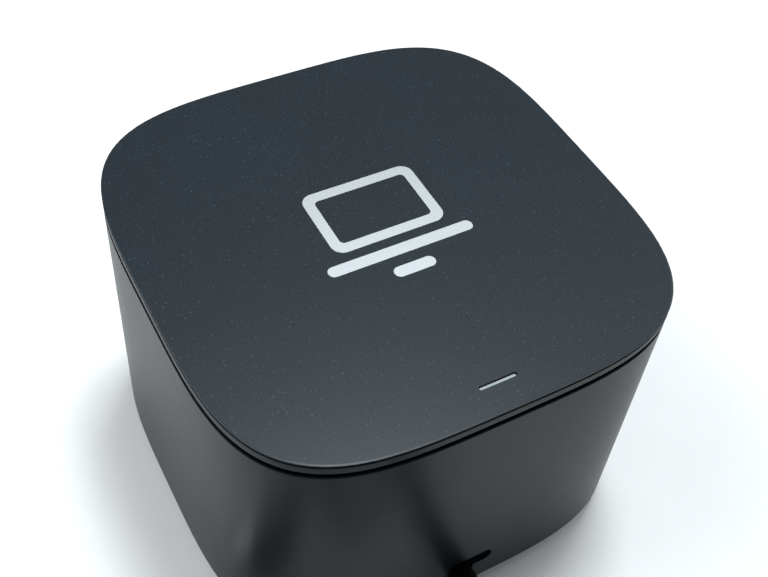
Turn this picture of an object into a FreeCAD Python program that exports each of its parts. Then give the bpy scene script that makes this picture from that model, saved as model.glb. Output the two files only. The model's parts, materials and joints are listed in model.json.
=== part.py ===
"""Laptop docking station: a rounded-square housing with a lift-off lid, ports at the back and on the
right, a sprung power button, and a host cord that leaves the front and ends in a coil and a plug.

Millimetres. +Z is up, the origin is on the resting surface under the middle of the housing, and the
front, with the cord outlet and the status light, faces -Y."""
import FreeCAD, Part
import Sketcher
import math
import os

Vector = FreeCAD.Vector

DIMENSIONS = {
    # Housing: |x|^power + |y|^power = half^power at every height, tapering from its foot to the top.
    "total_height": 70.0,
    "housing_foot": 4.8,
    "housing_rim": 66.1,
    "foot_half": 50.0,
    "foot_power": 3.68,
    "top_half": 49.15,
    "top_power": 3.86,
    "wall": 2.4,
    "column_side": 9.0,
    "column_centre": 35.5,
    "column_foot": 10.2,
    "screw_axis": 33.5,
    "lock_z": 48.0,
    # Lid and the shadow gap under it.
    "lid_bottom": 67.4,
    "plate_bottom": 69.15,
    "groove_height": 0.6,
    "groove_depth": 0.5,
    "crown_rise": 0.07,
    "crown_run": 0.3,
    "inlay_depth": 0.3,
    "skirt_half": 45.4,
    "skirt_wall": 1.3,
    "skirt_foot": 60.7,
    "lid_skin": 1.2,
    "seam_inset": 0.35,
    "seam_ledge": 65.8,
    "seam_step": 1.7,
    "seam_inner_half": 45.85,
    "seam_foot": 65.1,
    "seam_top": 67.1,
    "post_radius": 2.2,
    "post_foot": 57.4,
    "post_x": 24.0,
    "post_y": 38.0,
    "light_length": 7.8,
    "light_width": 0.62,
    "light_gap": 0.14,
    "light_y": -43.0,
    "light_recess": 0.5,
    "light_foot": 62.6,
    # Deck under the lid.
    "deck_bottom": 58.4,
    "deck_thickness": 2.0,
    "deck_half": 46.0,
    "grommet_radius": 3.6,
    "module_y": 28.0,
    # Cord outlet in the front wall, and the cord itself.
    "cord_radius": 2.7,
    "cord_x": -3.5,
    "cord_z": 11.4,
    "sleeve_radius": 3.1,
    "sleeve_end": 59.0,
    "outlet_height": 3.9,
    "outlet_bottom": 11.6,
    "outlet_left": -6.7,
    "outlet_right": 4.0,
    "clamp_y": -38.0,
    "clamp_screw": 6.3,
    "coil_radius": 30.0,
    "plug_x": -63.0,
    "plug_y": -58.5,
    "plug_z": 3.1,
    "plug_length": 25.0,
    "coil_x": -33.5,
    "coil_y": -108.0,
    # Base.
    "base_bottom": 1.4,
    "base_half": 47.0,
    "base_floor": 2.2,
    "base_wall": 2.2,
    "foot_outer_half": 43.6,
    "foot_inner_half": 37.0,
    "foot_top": 2.2,
    "cover_length": 29.0,
    "cover_width": 24.0,
    "cover_x": -2.0,
    "cover_y": -18.5,
    "cover_screw": 10.8,
    # Main board and what stands on it.
    "board_bottom": 15.4,
    "board_top": 17.0,
    "board_side": 81.2,
    "board_corner": 10.2,
    "standoff_radius": 2.6,
    "sink_length": 44.0,
    "sink_width": 40.0,
    "sink_bottom": 18.8,
    "sink_base": 3.0,
    "sink_top": 50.0,
    "sink_fin": 1.4,
    "sink_x": -2.0,
    "sink_y": -6.0,
    # Port panels, set flat into the curved walls.
    "panel_face": 44.9,
    "panel_back": 41.2,
    "panel_flange": 42.4,
    "panel_rim": 1.2,
    "panel_skin": 1.2,
    "panel_gap": 0.1,
    "window_bottom": 15.2,
    "rear_window": 66.0,
    "rear_window_top": 35.2,
    "side_window": 56.0,
    "side_window_top": 26.4,
    "socket_mouth": 44.7,
    "dc_x": 26.0,
    "usb_c_x": 13.2,
    "network_x": -2.6,
    "display_x": -22.0,
    "side_row_z": 20.7,
    "button_y": -20.0,
    "audio_y": -9.5,
    "usb_front_y": 4.0,
    "usb_rear_y": 20.0,
    "button_length": 8.8,
    "button_height": 4.4,
    "button_seat": 42.5,
}

BOARD_SCREWS = [(-26.5, -34), (26.5, -34), (-26.5, 18), (26.5, 18)]
SINK_SCREWS = [(-20.93, -23.5), (16.93, 11.5)]
CORNERS = [(-1, -1), (1, -1), (-1, 1), (1, 1)]
FACES_UP, FACES_RIGHT, FACES_BACK = "up", "right", "back"
TURNS = {
    FACES_UP: FreeCAD.Rotation(),
    FACES_RIGHT: FreeCAD.Rotation(Vector(0, 1, 0), 90),
    FACES_BACK: FreeCAD.Rotation(Vector(1, 0, 0), -90),
}

doc = FreeCAD.newDocument("DockingStation")
sheet = doc.addObject("Spreadsheet::Sheet", "dims")
for row, (alias, number) in enumerate(DIMENSIONS.items(), start=1):
    sheet.set(f"A{row}", alias.replace("_", " "))
    sheet.set(f"B{row}", str(number))
    sheet.setAlias(f"B{row}", alias)
doc.recompute()
nodes = []


# ---- Helpers ----------------------------------------------------------------------------------

def dim(alias):
    """A driving dimension, read from the sheet."""
    return float(sheet.get(alias))


def bind(obj, prop, expression):
    """Tie a property to an expression whose words are numbers, signs and names of sheet cells."""
    words = [f"dims.{word}" if word in DIMENSIONS else word for word in str(expression).split()]
    obj.setExpression(prop, " ".join(words))


def node(obj):
    """Hand a finished sub-part in under its own name."""
    obj.Label = obj.Name
    nodes.append(obj)
    return obj


def box(name, length, width, height, x, y, z):
    """Box centred on x and y that stands on z."""
    solid = doc.addObject("Part::Box", name)
    bind(solid, "Length", length)
    bind(solid, "Width", width)
    bind(solid, "Height", height)
    bind(solid, "Placement.Base.x", f"( {x} ) - ( {length} ) / 2")
    bind(solid, "Placement.Base.y", f"( {y} ) - ( {width} ) / 2")
    bind(solid, "Placement.Base.z", z)
    return solid


def place(solid, x, y, z, faces=FACES_UP):
    """Turn a solid's own Z towards +Z, +X or +Y and bind where its origin stands."""
    solid.Placement = FreeCAD.Placement(Vector(), TURNS[faces])
    bind(solid, "Placement.Base.x", x)
    bind(solid, "Placement.Base.y", y)
    bind(solid, "Placement.Base.z", z)
    return solid


def cylinder(name, radius, height, x, y, z, faces=FACES_UP):
    solid = doc.addObject("Part::Cylinder", name)
    bind(solid, "Radius", radius)
    bind(solid, "Height", height)
    return place(solid, x, y, z, faces)


def cone(name, radius_1, radius_2, height, x, y, z, faces=FACES_UP):
    solid = doc.addObject("Part::Cone", name)
    bind(solid, "Radius1", radius_1)
    bind(solid, "Radius2", radius_2)
    bind(solid, "Height", height)
    return place(solid, x, y, z, faces)


def fuse(name, *solids):
    result = doc.addObject("Part::MultiFuse", name)
    result.Shapes = list(solids)
    return result


def cut(name, base, *tools):
    result = doc.addObject("Part::Cut", name)
    result.Base = base
    result.Tool = tools[0] if len(tools) == 1 else fuse(f"{name}_tools", *tools)
    return result


def group(name, solids):
    """Several separate solids that share one node."""
    result = doc.addObject("Part::Compound", name)
    result.Links = list(solids)
    return result


def stadium(name, width, height, depth, x, y, z, faces):
    """Bar with round ends: width lies along Y (facing right) or X (facing back), centred on z."""
    middle = f"( {width} ) - ( {height} )"
    radius = f"( {height} ) / 2"
    low_z = f"( {z} ) - {radius}"
    if faces == FACES_RIGHT:
        core = box(f"{name}_core", depth, middle, height, f"{x} + ( {depth} ) / 2", y, low_z)
        ends = [(x, f"( {y} ) {sign} ( {middle} ) / 2") for sign in "-+"]
    else:
        core = box(f"{name}_core", middle, depth, height, x, f"{y} + ( {depth} ) / 2", low_z)
        ends = [(f"( {x} ) {sign} ( {middle} ) / 2", y) for sign in "-+"]
    rounds = [
        cylinder(f"{name}_end_{i}", radius, depth, end_x, end_y, z, faces)
        for i, (end_x, end_y) in enumerate(ends)
    ]
    return fuse(name, core, *rounds)


def taper(z):
    """Half width and power of the housing's outline at a height."""
    part = (z - dim("housing_foot")) / (dim("total_height") - dim("housing_foot"))
    half = dim("foot_half") + part * (dim("top_half") - dim("foot_half"))
    power = dim("foot_power") + part * (dim("top_power") - dim("foot_power"))
    return half, power


def outline(name, z, half=None, inset=0.0):
    """Closed rounded-square wire at a height, as four splines that meet at the sides' middles."""
    outer_half, power = taper(z)
    half = outer_half - inset if half is None else half
    quarter = []
    for step in range(17):
        angle = math.radians(90) * step / 16
        reach = half / (math.cos(angle) ** power + math.sin(angle) ** power) ** (1 / power)
        quarter.append(Vector(reach * math.cos(angle), reach * math.sin(angle), z))
    edges = []
    for turn in range(4):
        rotation = FreeCAD.Rotation(Vector(0, 0, 1), 90 * turn)
        curve = Part.BSplineCurve()
        curve.interpolate(
            Points=[rotation.multVec(point) for point in quarter],
            InitialTangent=rotation.multVec(Vector(0, 1, 0)),
            FinalTangent=rotation.multVec(Vector(-1, 0, 0)),
        )
        edges.append(curve.toShape())
    wire = doc.addObject("Part::Feature", name)
    wire.Shape = Part.Wire(edges)
    return wire


def loft(name, low, high):
    """Solid with straight walls between two outlines."""
    result = doc.addObject("Part::Loft", name)
    result.Sections = [low, high]
    result.Solid = True
    result.Ruled = True
    return result


def prism(name, z, height, half=None, inset=0.0):
    """Rounded-square slab: constant outline of a given half width, or following the taper."""
    top = z + height
    return loft(
        name,
        outline(f"{name}_low", z, half, inset),
        outline(f"{name}_high", top, half, inset),
    )


def screw(name, x, y, head_bottom, head_height, head_radius, shaft_radius, shaft_length, up=True):
    """Pan-head screw along Z with a cross recess; its shaft hangs down, or stands up if up is False."""
    if up:
        head_z, shaft_z = head_bottom, f"{head_bottom} - {shaft_length}"
        recess_z = f"{head_bottom} + {head_height} - 0.7"
    else:
        head_z, shaft_z = head_bottom, f"{head_bottom} + {head_height}"
        recess_z = f"{head_bottom} - 0.1"
    head = cylinder(f"{name}_head", head_radius, head_height, x, y, head_z)
    shaft = cylinder(f"{name}_shaft", shaft_radius, shaft_length, x, y, shaft_z)
    slot_length = 1.3 * head_radius
    bars = [
        box(f"{name}_slot_{i}", length, width, 0.8, x, y, recess_z)
        for i, (length, width) in enumerate([(slot_length, 0.5), (0.5, slot_length)])
    ]
    return cut(name, fuse(f"{name}_blank", head, shaft), *bars)


def new_body(name):
    body = doc.addObject("PartDesign::Body", name)
    body.Label = name
    return body


def sketch_on(body, name, role="XY_Plane", lift="0"):
    """Sketch on one of the body's own origin planes, raised along the plane's normal."""
    plane = next(item for item in body.Origin.OriginFeatures if item.Role == role)
    sketch = body.newObject("Sketcher::SketchObject", name)
    sketch.AttachmentSupport = [(plane, "")]
    sketch.MapMode = "FlatFace"
    bind(sketch, "AttachmentOffset.Base.z", lift)
    return sketch


def centred_rectangle(sketch, width, depth):
    """Rectangle about the sketch's origin with both sides bound to the sheet."""
    corners = [Vector(-1, -1, 0), Vector(1, -1, 0), Vector(1, 1, 0), Vector(-1, 1, 0)]
    for i in range(4):
        sketch.addGeometry(Part.LineSegment(corners[i], corners[(i + 1) % 4]))
    for i in range(4):
        sketch.addConstraint(Sketcher.Constraint("Coincident", i, 2, (i + 1) % 4, 1))
        sketch.addConstraint(Sketcher.Constraint("Vertical" if i % 2 else "Horizontal", i))
    sketch.addConstraint(Sketcher.Constraint("Symmetric", 0, 1, 2, 1, -1, 1))
    for kind, line, expression in (("DistanceX", 0, width), ("DistanceY", 1, depth)):
        index = sketch.addConstraint(Sketcher.Constraint(kind, line, 1, line, 2, 2.0))
        bind(sketch, f"Constraints[{index}]", expression)


def pad(body, name, sketch, length):
    feature = body.newObject("PartDesign::Pad", name)
    feature.Profile = sketch
    bind(feature, "Length", length)
    return feature


def edges_where(shape, test):
    """Names of the edges whose two ends and middle all pass a test."""
    names = []
    for index, edge in enumerate(shape.Edges, start=1):
        middle = edge.valueAt((edge.FirstParameter + edge.LastParameter) / 2)
        points = [vertex.Point for vertex in edge.Vertexes] + [middle]
        if all(test(point) for point in points):
            names.append((index, f"Edge{index}"))
    return names


def reach(point, power):
    """Half width of the rounded square of a power that passes through a point."""
    return (abs(point.x) ** power + abs(point.y) ** power) ** (1 / power)


def on_outline(z):
    """Test for points on the housing's outer outline at a height."""
    half, power = taper(z)
    return lambda point: abs(point.z - z) < 0.01 and abs(reach(point, power) - half) < 0.12


def chamfer(name, base, size, test):
    """Chamfer of the edges that pass a test."""
    doc.recompute()
    result = doc.addObject("Part::Chamfer", name)
    result.Base = base
    result.Edges = [(index, size, size) for index, _ in edges_where(base.Shape, test)]
    return result


# ---- Housing and base -------------------------------------------------------------------------

def make_housing():
    foot, rim = dim("housing_foot"), dim("housing_rim")
    wall = dim("wall")
    shell = cut(
        "housing_shell",
        loft("housing_outer", outline("housing_foot_line", foot), outline("housing_rim_line", rim)),
        loft(
            "housing_inner",
            outline("cavity_foot_line", foot - 1, inset=wall),
            outline("cavity_rim_line", rim + 1, inset=wall),
        ),
    )
    columns = [
        box(
            f"column_{i}", "column_side", "column_side", "deck_bottom - column_foot",
            f"{sx} * column_centre", f"{sy} * column_centre", "column_foot",
        )
        for i, (sx, sy) in enumerate(CORNERS)
    ]
    threads = [
        cylinder(
            f"column_thread_{i}", 1.35, "deck_bottom - column_foot + 2",
            f"{sx} * screw_axis", f"{sy} * screw_axis", "column_foot - 1",
        )
        for i, (sx, sy) in enumerate(CORNERS)
    ]
    rebate = prism("seam_rebate", dim("seam_foot"), 3.0, inset=dim("seam_inset"))
    rear_window = box(
        "rear_window_tool", "rear_window", 20, "rear_window_top - window_bottom",
        0, 46, "window_bottom",
    )
    side_window = box(
        "side_window_tool", 20, "side_window", "side_window_top - window_bottom",
        46, 0, "window_bottom",
    )
    outlet = stadium(
        "outlet_slot", "outlet_right - outlet_left", "outlet_height", 12,
        "( outlet_right + outlet_left ) / 2", -54, "outlet_bottom + outlet_height / 2", FACES_BACK,
    )
    notch = box(
        "outlet_notch", "2 * sleeve_radius + 0.2", 12,
        "outlet_bottom + outlet_height / 2 - housing_foot + 2",
        "cord_x", -48, "housing_foot - 2",
    )
    lock_slot = stadium("lock_slot", 7, 3, 10, 0, 42, "lock_z", FACES_BACK)
    raw = cut(
        "housing_raw", fuse("housing_ribbed", shell, *columns),
        *threads, rebate, rear_window, side_window, outlet, notch, lock_slot,
    )
    node(chamfer("housing", raw, 0.18, on_outline(rim)))


def make_base():
    bottom, floor, half = dim("base_bottom"), dim("base_floor"), dim("base_half")
    rim = dim("column_foot")
    blank = prism("base_blank", bottom, rim - bottom, half=half)
    cavity = prism("base_cavity", bottom + floor, rim, half=half - dim("base_wall"))
    bosses = [
        cylinder(
            f"base_boss_{i}", 4, "column_foot - base_bottom - 1",
            f"{sx} * screw_axis", f"{sy} * screw_axis", "base_bottom + 1",
        )
        for i, (sx, sy) in enumerate(CORNERS)
    ]
    clamp_pads = [
        box(f"clamp_pad_{i}", 4.6, 6, 5.2, f"cord_x + {sign} * 5.6", "clamp_y", "base_bottom + 1.8")
        for i, sign in enumerate((-1, 1))
    ]
    holes = []
    for i, (sx, sy) in enumerate(CORNERS):
        x, y = f"{sx} * screw_axis", f"{sy} * screw_axis"
        holes.append(cylinder(f"base_hole_{i}", 1.7, 20, x, y, 0))
        holes.append(cylinder(f"base_sink_{i}", 3.2, 4.4, x, y, 0))
    for i, sign in enumerate((-1, 1)):
        x = f"cord_x + {sign} * clamp_screw"
        holes.append(cylinder(f"clamp_hole_{i}", 0.9, 5, x, "clamp_y", "base_bottom + 3.2"))
    groove_cut = cut(
        "foot_groove",
        prism("foot_groove_outer", 0.0, dim("foot_top"), half=dim("foot_outer_half") + 0.1),
        prism("foot_groove_inner", -1.0, dim("foot_top") + 2, half=dim("foot_inner_half") - 0.1),
    )
    cover_hole = box(
        "cover_hole", "cover_width - 2.4", "cover_length - 2.4", 10, "cover_x", "cover_y", 0
    )
    cover_seat = box(
        "cover_seat", "cover_width + 0.3", "cover_length + 0.3", 1.3, "cover_x", "cover_y",
        "base_bottom - 0.1",
    )
    cord_notch = box(
        "cord_notch", "2 * sleeve_radius + 0.6", 6, 8, "cord_x", "0 - base_half + 1",
        "housing_foot",
    )
    tabs = [
        box(f"cover_tab_{i}", 5, 5, 1.6, "cover_x", f"cover_y + {sign} * 11.2", "base_bottom + 1.2")
        for i, sign in enumerate((-1, 1))
    ]
    tab_holes = [
        cylinder(f"tab_hole_{i}", 0.9, 5, "cover_x", f"cover_y + {sign} * cover_screw", 0)
        for i, sign in enumerate((-1, 1))
    ]
    tray = cut("base_tray", blank, cavity, cover_hole, cover_seat)
    raw = cut(
        "base_raw", fuse("base_ribbed", tray, *bosses, *clamp_pads, *tabs),
        *holes, *tab_holes, groove_cut, cord_notch,
    )
    power = taper(bottom)[1]
    node(chamfer(
        "base_plate", raw, 0.6,
        lambda point: abs(point.z - bottom) < 0.01 and reach(point, power) > half - 0.5,
    ))


def make_foot_ring():
    top = dim("foot_top")
    node(cut(
        "foot_ring",
        prism("foot_outer", 0.0, top, half=dim("foot_outer_half")),
        prism("foot_inner", -1.0, top + 2, half=dim("foot_inner_half")),
    ))


def make_cable_cover():
    plate = box("cover_plate", "cover_width", "cover_length", 1.1, "cover_x", "cover_y", "base_bottom")
    holes = [
        cylinder(f"cover_plate_hole_{i}", 1.1, 5, "cover_x", f"cover_y + {sign} * cover_screw", 0)
        for i, sign in enumerate((-1, 1))
    ]
    node(cut("cable_cover", plate, *holes))


def make_lock_plate():
    plate = box("lock_blank", 18, 1.5, 11, 0, 45.75, "lock_z - 5.5")
    slot = stadium("lock_plate_slot", 7, 3, 10, 0, 40, "lock_z", FACES_BACK)
    node(cut("lock_plate", plate, slot))


# ---- Port panels and sockets ------------------------------------------------------------------

def panel(name, faces, window, window_top, openings):
    """Flat port panel whose rim follows the curved wall, with a flange behind the wall."""
    inner = "panel_face - panel_back"
    height = f"{window_top} - window_bottom"
    reach = "panel_face - panel_back + 8"

    def slab(label, width, tall, depth, start, low):
        middle = f"{start} + ( {depth} ) / 2"
        if faces == FACES_RIGHT:
            return box(label, depth, width, tall, middle, 0, low)
        return box(label, width, depth, tall, 0, middle, low)

    gap = "panel_gap"
    block = slab(
        f"{name}_block", f"{window} - 2 * {gap}", f"{height} - 2 * {gap}", reach, "panel_back",
        f"window_bottom + {gap}",
    )
    flange = slab(
        f"{name}_flange", f"{window} + 2.6", f"{height} + 2", "panel_flange - panel_back",
        "panel_back", "window_bottom - 1",
    )
    recess = slab(
        f"{name}_recess", f"{window} - 2 * panel_rim", f"{height} - 2 * panel_rim", reach,
        "panel_face", "window_bottom + panel_rim",
    )
    hollow = slab(
        f"{name}_hollow", f"{window} - 2 * panel_rim", f"{height} - 2 * panel_rim",
        "panel_face - panel_skin - panel_back + 2", "panel_back - 2", "window_bottom + panel_rim",
    )
    middle_z = (dim("window_bottom") + dim(window_top)) / 2
    half = taper(middle_z)[0] - 0.3
    trim = cut(
        f"{name}_trim",
        box(f"{name}_trim_block", 140, 140, 50, 0, 0, 5),
        prism(f"{name}_trim_line", 0.0, 60.0, half=half),
    )
    return node(cut(
        name, fuse(f"{name}_blank", block, flange), recess, hollow, trim, *openings,
    ))


def make_rear_panel():
    openings = [
        cylinder("dc_opening", 4.1, 12, "dc_x", 38, "board_top + 5.5", FACES_BACK),
        stadium("usb_c_opening", 9.6, 3.9, 12, "usb_c_x", 38, "board_top + 2.4", FACES_BACK),
        box("network_opening", 15.4, 12, 13.8, "network_x", 44, "board_top - 0.2"),
        box("display_opening_low", 17.4, 12, 6.4, "display_x", 44, "board_top + 0.8"),
        box("display_opening_high", 17.4, 12, 6.4, "display_x", 44, "board_top + 9.0"),
    ]
    panel("rear_port_panel", FACES_BACK, "rear_window", "rear_window_top", openings)


def make_side_panel():
    openings = [
        stadium(
            "button_opening", "button_length + 0.6", "button_height + 0.6", 12,
            38, "button_y", "side_row_z", FACES_RIGHT,
        ),
        cylinder("audio_opening", 3.2, 12, 38, "audio_y", "side_row_z", FACES_RIGHT),
    ]
    for label, y in (("front", "usb_front_y"), ("rear", "usb_rear_y")):
        openings.append(
            box(f"usb_{label}_opening", 12, 13.6, 6.1, 44, y, "side_row_z - 3.05")
        )
    panel("side_port_panel", FACES_RIGHT, "side_window", "side_window_top", openings)


def make_dc_jack():
    mouth = "socket_mouth"
    body = box("dc_body", 9.4, 13.5, 11, "dc_x", f"{mouth} - 8.15", "board_top")
    snout = cylinder("dc_snout", 3.95, 2, "dc_x", f"{mouth} - 2", "board_top + 5.5", FACES_BACK)
    bore = cylinder("dc_bore", 3.3, 12, "dc_x", f"{mouth} - 11", "board_top + 5.5", FACES_BACK)
    pin = cylinder("dc_pin", 0.9, 10.4, "dc_x", f"{mouth} - 11", "board_top + 5.5", FACES_BACK)
    node(group("dc_jack", [cut("dc_shell", fuse("dc_blank", body, snout), bore), pin]))


def make_usb_c_socket():
    z = "board_top + 2.4"
    outer = stadium("usb_c_outer", 9.2, 3.5, 8, "usb_c_x", "socket_mouth - 8", z, FACES_BACK)
    inner = stadium("usb_c_inner", 8.4, 2.7, 8, "usb_c_x", "socket_mouth - 7", z, FACES_BACK)
    foot = box("usb_c_foot", 7, 5, 0.8, "usb_c_x", "socket_mouth - 5", "board_top")
    node(cut("usb_c_socket", fuse("usb_c_blank", outer, foot), inner))


def make_network_jack():
    body = box("network_body", 15.0, 21, 13.4, "network_x", "socket_mouth - 10.5", "board_top")
    cavity = box("network_cavity", 11.8, 14, 8.0, "network_x", "socket_mouth - 6", "board_top + 2.6")
    latch = box("network_latch", 6.2, 14, 1.6, "network_x", "socket_mouth - 6", "board_top + 1.1")
    lights = [
        box(
            f"network_light_{i}", 2.8, 3, 1.7, f"network_x + {sign} * 5.2", "socket_mouth - 1.5",
            "board_top + 11.2",
        )
        for i, sign in enumerate((-1, 1))
    ]
    pockets = [
        box(
            f"network_pocket_{i}", 2.8, 4, 1.7, f"network_x + {sign} * 5.2", "socket_mouth - 1",
            "board_top + 11.2",
        )
        for i, sign in enumerate((-1, 1))
    ]
    node(cut("network_jack", body, cavity, latch, *pockets))
    node(group("network_lights", lights))
    contacts = []
    for i in range(8):
        x = f"network_x + {1.02 * (i - 3.5):.2f}"
        contacts.append(box(f"network_contact_{i}", 0.4, 9, 0.4, x, "socket_mouth - 8.4", "board_top + 9.8"))
    node(group("network_contacts", contacts))


def make_display_sockets():
    mouth = "socket_mouth"
    for label, z in (("lower", "board_top + 1.0"), ("upper", "board_top + 9.2")):
        outer = box(f"display_{label}_outer", 17.0, 18, 6.0, "display_x", f"{mouth} - 9", z)
        inner = box(f"display_{label}_inner", 16.1, 18, 4.9, "display_x", f"{mouth} - 7", f"{z} + 0.5")
        key = box(f"display_{label}_key", 2.0, 20, 2.0, "display_x - 8.05", f"{mouth} - 8", f"{z} + 0.4")
        cavity = cut(f"display_{label}_cavity", inner, key)
        node(cut(f"display_socket_{label}", outer, cavity))
    foot = box("display_foot", 17.0, 15.6, 1.0, "display_x", f"{mouth} - 9.2", "board_top")
    middle = box("display_middle", 17.0, 15.6, 2.2, "display_x", f"{mouth} - 9.2", "board_top + 7.0")
    back = box("display_back", 17.0, 2, 13.0, "display_x", f"{mouth} - 19", "board_top")
    node(fuse("display_spacer", foot, middle, back, box(
        "display_bridge", 17.0, 3, 2.2, "display_x", f"{mouth} - 17.5", "board_top + 7.0"
    ), box("display_foot_bridge", 17.0, 3, 1.0, "display_x", f"{mouth} - 17.5", "board_top")))


def make_usb_a_sockets():
    for label, y in (("front", "usb_front_y"), ("rear", "usb_rear_y")):
        outer = box(f"usb_{label}_outer", 14, 13.2, 5.7, "socket_mouth - 7", y, "side_row_z - 2.85")
        inner = box(f"usb_{label}_inner", 14, 12.4, 4.9, "socket_mouth - 6", y, "side_row_z - 2.45")
        foot = box(f"usb_{label}_foot", 10, 11, 1.2, "socket_mouth - 10", y, "board_top")
        node(cut(f"usb_a_socket_{label}", fuse(f"usb_{label}_blank", outer, foot), inner))


def make_socket_tongues():
    tongues = [
        box("usb_c_tongue", 6.7, 6.2, 0.7, "usb_c_x", "socket_mouth - 3.9", "board_top + 2.05"),
        box("display_tongue_low", 12.6, 11.5, 1.4, "display_x", "socket_mouth - 10.25", "board_top + 3.3"),
        box("display_tongue_high", 12.6, 11.5, 1.4, "display_x", "socket_mouth - 10.25", "board_top + 11.5"),
    ]
    for label, y in (("front", "usb_front_y"), ("rear", "usb_rear_y")):
        tongues.append(
            box(f"usb_{label}_tongue", 11.9, 11.0, 1.8, "socket_mouth - 7.05", y, "side_row_z + 0.3")
        )
    node(group("socket_tongues", tongues))


def make_audio_jack():
    body = box("audio_body", 12, 7.0, 6.0, "socket_mouth - 8", "audio_y", "board_top")
    snout = cylinder("audio_snout", 2.9, 4, "socket_mouth - 4", "audio_y", "side_row_z", FACES_RIGHT)
    bore = cylinder("audio_bore", 1.8, 13, "socket_mouth - 13", "audio_y", "side_row_z", FACES_RIGHT)
    node(cut("audio_jack", fuse("audio_blank", body, snout), bore))


# ---- Power button -----------------------------------------------------------------------------

def make_power_button():
    """Cap with a flange behind the panel, drawn on the plane that faces right."""
    cap = stadium(
        "button_cap", "button_length", "button_height", 3.1, "button_seat", "button_y",
        "side_row_z", FACES_RIGHT,
    )
    flange = box(
        "button_flange", 0.9, "button_length + 2", "button_height + 1.6", "button_seat + 0.45",
        "button_y", "side_row_z - button_height / 2 - 0.8",
    )
    raw = fuse("button_raw", cap, flange)
    face = dim("button_seat") + 3.1
    node(chamfer("power_button", raw, 0.3, lambda point: abs(point.x - face) < 0.01))


def make_power_switch():
    body = box("switch_body", 3.5, 6.2, 6.0, "button_seat - 5.35", "button_y", "board_top + 0.6")
    foot = box("switch_foot", 3.5, 5.0, 0.6, "button_seat - 5.35", "button_y", "board_top")
    hole = cylinder("switch_hole", 1.5, 4, "button_seat - 5.9", "button_y", "side_row_z", FACES_RIGHT)
    node(cut("power_switch", fuse("switch_blank", body, foot), hole))
    node(cylinder(
        "switch_plunger", 1.42, 4.6, "button_seat - 4.6", "button_y", "side_row_z", FACES_RIGHT
    ))


# ---- Main board, heat sink and the parts between them --------------------------------------------

def make_main_board():
    blank = box("board_blank", "board_side", "board_side", "board_top - board_bottom",
                0, 0, "board_bottom")
    offset = "( board_side - board_corner ) / 2"
    corners = [
        box(f"board_corner_{i}", "board_corner + 0.2", "board_corner + 0.2", 5,
            f"{sx} * ( {offset} + 0.1 )", f"{sy} * ( {offset} + 0.1 )", "board_bottom - 1")
        for i, (sx, sy) in enumerate(CORNERS)
    ]
    holes = [
        cylinder(f"board_hole_{i}", 1.4, 5, x, y, "board_bottom - 1")
        for i, (x, y) in enumerate(BOARD_SCREWS)
    ]
    holes += [
        cylinder(f"board_sink_hole_{i}", 1.1, 5, x, y, "board_bottom - 1")
        for i, (x, y) in enumerate(SINK_SCREWS)
    ]
    node(cut("main_board", blank, *corners, *holes))
    node(group("board_standoffs", [
        cut(
            f"standoff_{i}",
            cylinder(f"standoff_body_{i}", "standoff_radius",
                     "board_bottom - base_bottom - base_floor", x, y, "base_bottom + base_floor"),
            cylinder(f"standoff_bore_{i}", 1.2, 20, x, y, "base_bottom + base_floor + 3"),
        )
        for i, (x, y) in enumerate(BOARD_SCREWS)
    ]))
    node(group("board_screws", [
        screw(f"board_screw_{i}", x, y, "board_top", 1.4, 2.4, 1.15, 6)
        for i, (x, y) in enumerate(BOARD_SCREWS)
    ]))


def make_chips():
    """Two large chips under the heat sink, and small ones beside the sockets they serve."""
    large = [("hub", 14, -8, -4), ("video", 12, 9, -12)]
    small = [("network", 7, -2.6, 18.5), ("power", 5, 24, 10), ("usb", 6, 24, -6), ("audio", 5, 25, -18)]
    chips = [box(f"{label}_chip", side, side, 1.2, x, y, "board_top") for label, side, x, y in large]
    chips += [box(f"{label}_chip", side, side, 0.9, x, y, "board_top") for label, side, x, y in small]
    node(group("controller_chips", chips))
    node(group("thermal_pads", [
        box(f"{label}_pad", side, side, "sink_bottom - board_top - 1.2", x, y, "board_top + 1.2")
        for label, side, x, y in large
    ]))
    node(group("capacitors", [
        cylinder(f"capacitor_{i}", 3.1, 7.5, x, y, "board_top")
        for i, (x, y) in enumerate([(10, 19), (17.5, 19)])
    ]))
    node(group("power_inductors", [
        box(f"inductor_{i}", 6.4, 6.4, 3.2, x, y, "board_top")
        for i, (x, y) in enumerate([(-35, 20), (-35, -22), (24.5, -26), (-18, -32)])
    ]))
    can = box("can_outer", 10, 30, 2.6, -33.5, -1, "board_top")
    hollow = box("can_hollow", 9.4, 29.4, 2.3, -33.5, -1, "board_top")
    node(cut("shield_can", can, hollow))


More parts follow.
